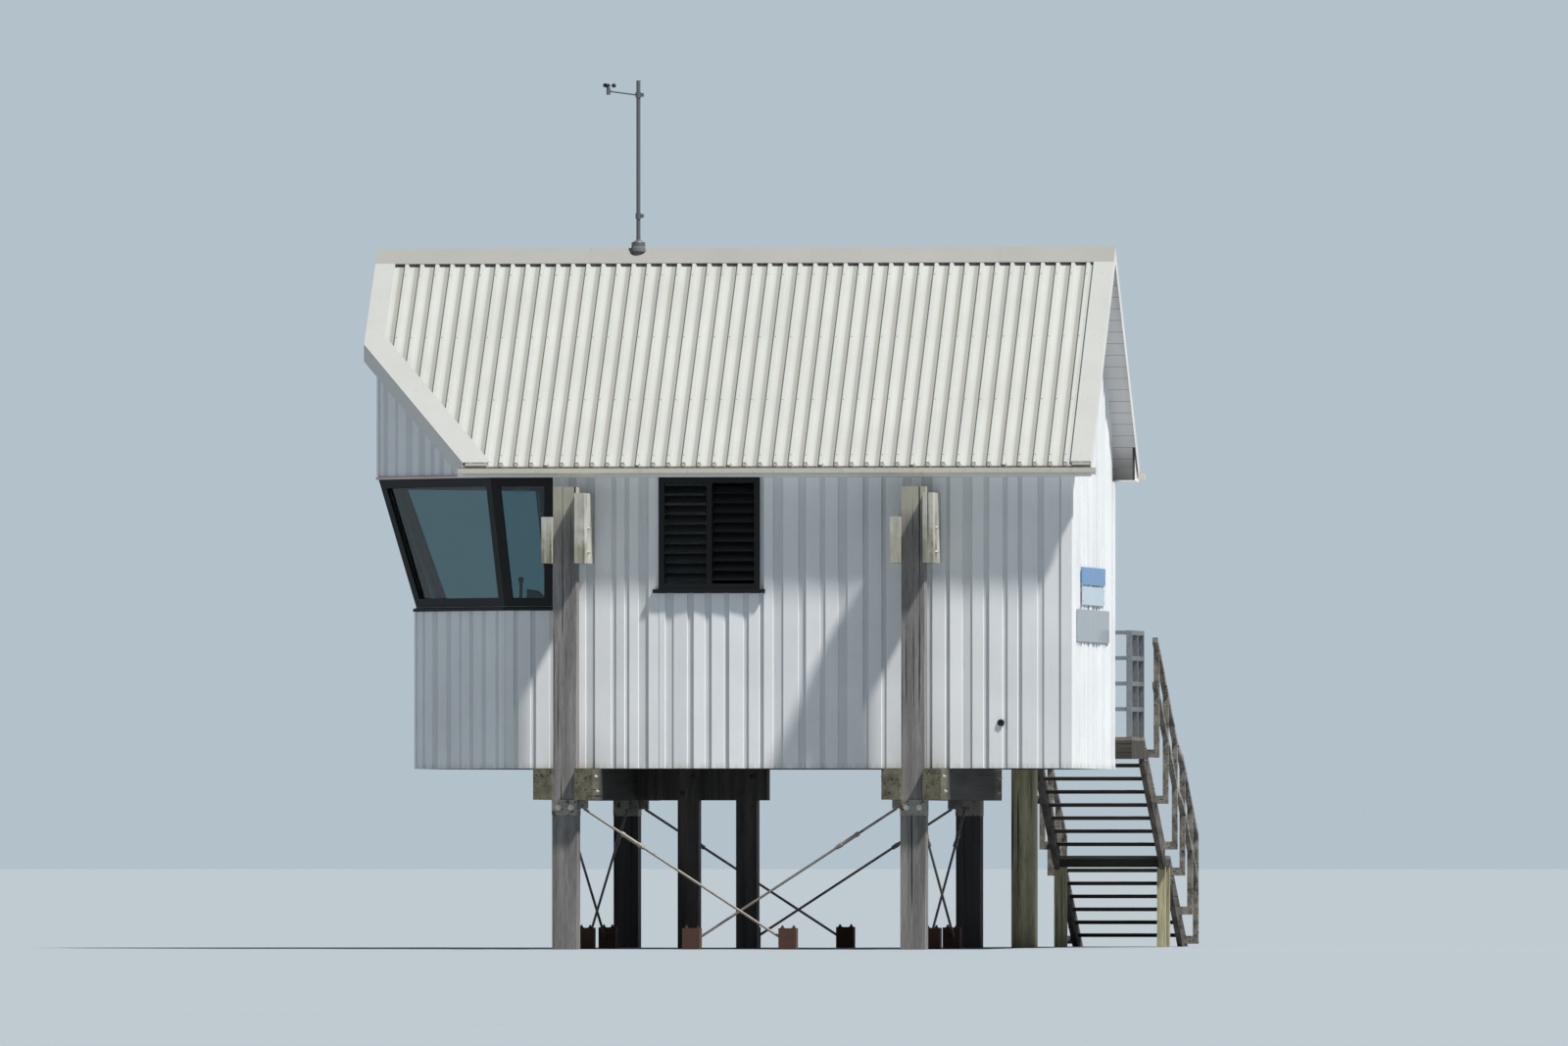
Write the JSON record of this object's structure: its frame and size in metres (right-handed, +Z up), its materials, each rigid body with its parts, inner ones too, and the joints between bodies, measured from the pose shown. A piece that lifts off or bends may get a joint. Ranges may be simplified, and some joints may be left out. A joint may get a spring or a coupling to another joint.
{
  "type": "lifeguard watch tower",
  "caption": "Timber watch hut on tall braced legs, with a raked canted window front, a ribbed sheet roof, a wind mast and an outside stair.",
  "frame": {"origin": "bottom centre of the whole part's box, at the level the legs stand on", "axes": "+Z up, +X along the ridge from the raked window front to the rear gable, +Y to the far side, where the stair goes down"},
  "size_m": [8.225, 10.18, 9.4845],
  "materials": {
    "weathered_leg": "weathered grey timber, sun-bleached",
    "post_timber": "weathered grey timber",
    "green_timber": "pressure-treated timber, greenish, bleached in the sun",
    "dark_timber": "dark creosoted timber",
    "galvanised": "dull galvanised steel with rust at the ends",
    "rusty_steel": "heavy orange-brown rust",
    "floor_boards": "bare softwood boards",
    "white_boards": "white painted vertical boards",
    "black_frames": "satin black paint",
    "louvre_blades": "dark satin blades",
    "clear_glass": "clear, faintly green",
    "door_paint": "dark grey paint",
    "lining": "painted lining boards",
    "soffit_boards": "pinkish grey painted boards",
    "roof_sheet": "cream-white coated steel sheet",
    "gutter": "off-white plastic, weathered",
    "grey_timber": "weathered grey-brown timber",
    "mast_metal": "dull weathered tube",
    "rotor_plastic": "black moulded plastic"
  },
  "bodies": {
    "tower": {"lower_legs": "weathered_leg", "tall_posts": "post_timber", "cross_beams": "green_timber", "head_timbers": "green_timber", "stair_posts": "green_timber", "floor_trestle": "dark_timber", "floor_joists": "dark_timber", "landing_frames": "dark_timber", "splice_collars": "galvanised", "side_tie_rods": "galvanised", "end_tie_rods": "galvanised", "rod_anchors": "rusty_steel", "floor_deck": "floor_boards", "near_wall": "white_boards", "far_wall": "white_boards", "rear_gable_wall": "white_boards", "front_lower_wall": "white_boards", "cant_lower_walls": "white_boards", "front_gable_wall": "white_boards", "cant_upper_walls": "white_boards", "front_window_frame": "black_frames", "cant_window_frames": "black_frames", "end_window_frames": "black_frames", "louvre_frames": "black_frames", "louvre_blades": "louvre_blades", "prow_glass": "clear_glass", "door_frame": "door_paint", "door_leaf": "door_paint", "ceiling": "lining", "near_roof_boards": "soffit_boards", "far_roof_boards": "soffit_boards", "eave_boards": "soffit_boards", "near_roof_sheet": "roof_sheet", "far_roof_sheet": "roof_sheet", "ridge_cap": "roof_sheet", "near_roof_trim": "roof_sheet", "far_roof_trim": "roof_sheet", "gutters": "gutter", "landing_decks": "grey_timber", "landing_guards": "grey_timber", "stringers": "grey_timber", "treads": "grey_timber", "stair_rails": "grey_timber", "wind_mast": "mast_metal"},
    "cups": {"cup_rotor": "rotor_plastic"}
  },
  "joints": [
    {"name": "cups_spin", "type": "hinge", "parent": "tower", "child": "cups", "pos_m": [-1.5625, -2.36, 9.43], "axis": [0, 0, 1], "continuous": true}
  ]
}
